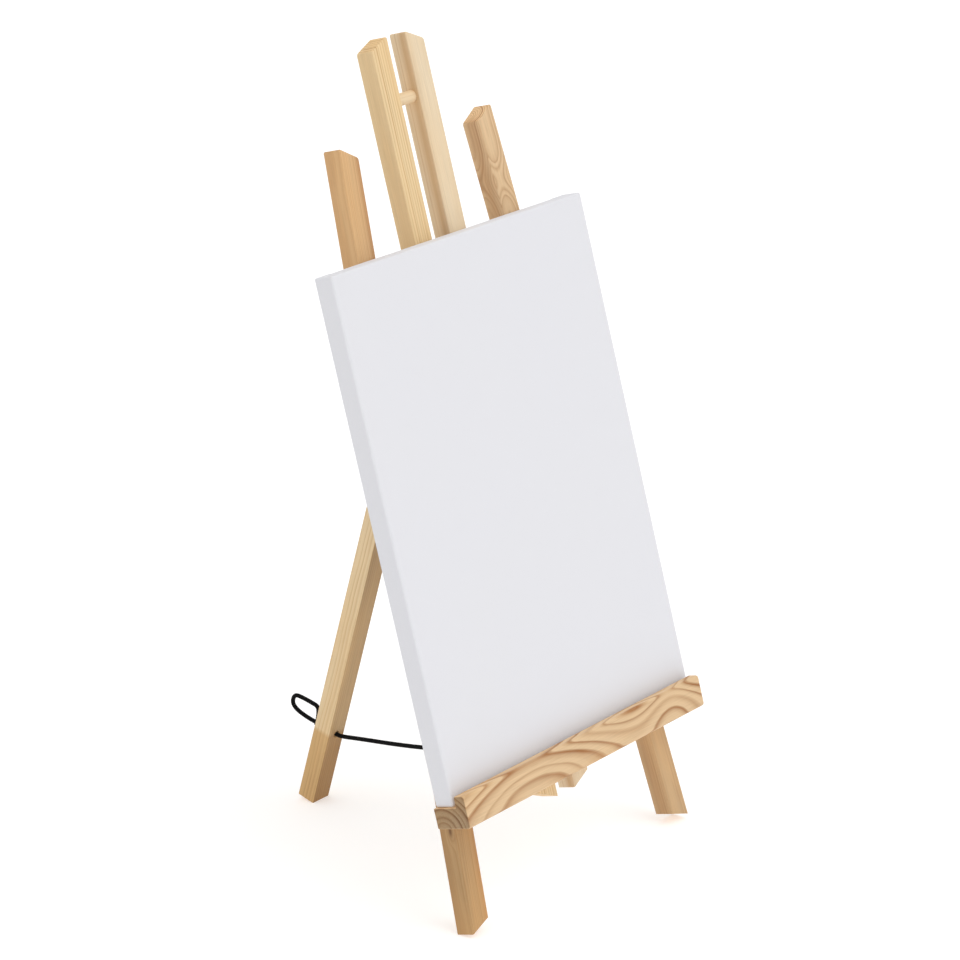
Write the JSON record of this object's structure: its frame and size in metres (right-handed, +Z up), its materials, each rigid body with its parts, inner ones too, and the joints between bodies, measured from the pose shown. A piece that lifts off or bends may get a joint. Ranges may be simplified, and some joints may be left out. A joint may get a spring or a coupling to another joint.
{
  "type": "tabletop easel",
  "caption": "Folding pine tabletop easel: slotted mast, splayed front legs, lipped ledge, corded rear leg that swings on a bolt, and a stretched canvas that lifts off.",
  "frame": {"origin": "on the floor, at the middle of the easel's footprint box", "axes": "+Z up; the front of the canvas faces -Y, and +X is to the right of a person looking at it"},
  "size_m": [0.302, 0.2995, 0.6392],
  "materials": {
    "rail_wood": "fine-sanded unfinished pine",
    "leg_wood": "fine-sanded unfinished pine",
    "brace_wood": "fine-sanded unfinished pine",
    "ledge_wood": "fine-sanded pine with bold figure",
    "dowel_wood": "smooth beech-like dowel",
    "rear_leg_wood": "fine-sanded unfinished pine",
    "stretcher_wood": "planed spruce",
    "wedge_wood": "thin plywood-like wedge",
    "zinc": "bright zinc plating",
    "canvas": "primed plain-weave cotton",
    "cord": "braided black cord"
  },
  "bodies": {
    "easel_frame": {"left_rail": "rail_wood", "right_rail": "rail_wood", "left_leg": "leg_wood", "right_leg": "leg_wood", "left_brace": "brace_wood", "right_brace": "brace_wood", "ledge": "ledge_wood", "top_dowel": "dowel_wood", "pivot_bolt": "zinc", "pivot_washers": "zinc", "pivot_cap_nut": "zinc", "ledge_screws": "zinc", "brace_screws": "zinc", "screw_eye": "zinc", "cord": "cord", "cord_tie": "cord"},
    "rear_leg": {"rear_leg": "rear_leg_wood", "cord_stop_knot": "cord", "cord_loop": "cord"},
    "canvas": {"canvas_cloth": "canvas", "stretcher_lower_bar": "stretcher_wood", "stretcher_upper_bar": "stretcher_wood", "stretcher_left_bar": "stretcher_wood", "stretcher_right_bar": "stretcher_wood", "corner_wedges": "wedge_wood", "canvas_staples": "zinc"}
  },
  "joints": [
    {"name": "rear_leg_fold", "type": "hinge", "parent": "easel_frame", "child": "rear_leg", "pos_m": [-0.001, -0.00882, 0.46579], "axis": [1, 0, 0], "range_deg": [-31.9, 0], "deforming": ["cord"]},
    {"name": "canvas_lift", "type": "slide", "parent": "easel_frame", "child": "canvas", "axis": [0, 0, 1], "range_m": [0, 0.12]}
  ]
}
